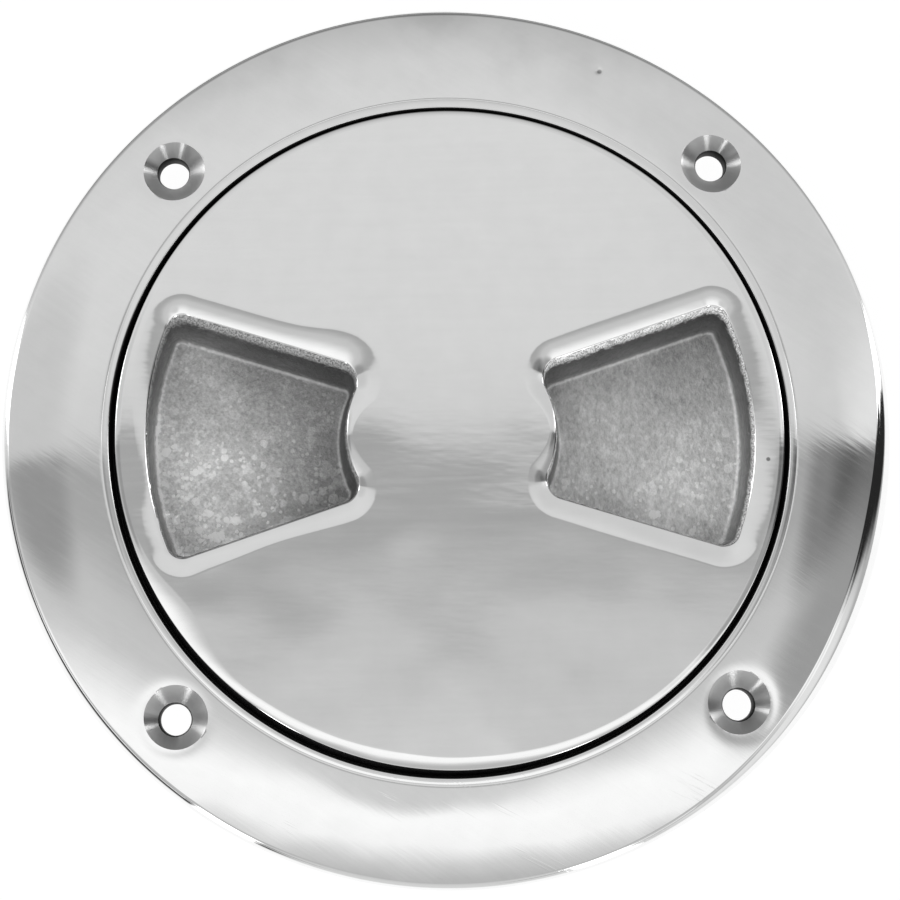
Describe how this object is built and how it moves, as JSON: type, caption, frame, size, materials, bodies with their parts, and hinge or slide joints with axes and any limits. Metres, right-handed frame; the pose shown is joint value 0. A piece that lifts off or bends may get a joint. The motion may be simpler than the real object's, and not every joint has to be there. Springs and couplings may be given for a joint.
{
  "type": "deck inspection plate",
  "caption": "Round polished steel deck inspection plate: a flanged frame with a threaded neck, a seal ring and a screw-in cover with finger pockets.",
  "frame": {"origin": "centre of the flange's underside, on the axis of the cover and of the screw circle, in the plane of the deck", "axes": "+Z out of the deck along the cover's axis, +X through the middle of the right-hand finger pocket, +Y towards the top of the picture"},
  "size_m": [0.14, 0.14, 0.023],
  "materials": {
    "frame_steel": "cast stainless steel, mirror polished on top, with turned countersinks",
    "cover_steel": "cast stainless steel, mirror polished on top, rough as cast in the finger pockets and below",
    "seal_rubber": "matt black rubber"
  },
  "bodies": {
    "frame": {"frame": "frame_steel"},
    "seal_ring": {"seal_ring": "seal_rubber"},
    "cover": {"cover": "cover_steel"}
  },
  "joints": [
    {"name": "cover_rise", "type": "slide", "parent": "frame", "child": "seal_ring", "axis": [0, 0, 1], "range_m": [0, 0.01]},
    {"name": "cover_turn", "type": "hinge", "parent": "seal_ring", "child": "cover", "pos_m": [0, 0, 0], "axis": [0, 0, 1], "range_deg": [0, 900]}
  ],
  "couplings": [
    {"joint": "cover_rise", "follows": "cover_turn", "m_per_rad": 0.00063662}
  ]
}
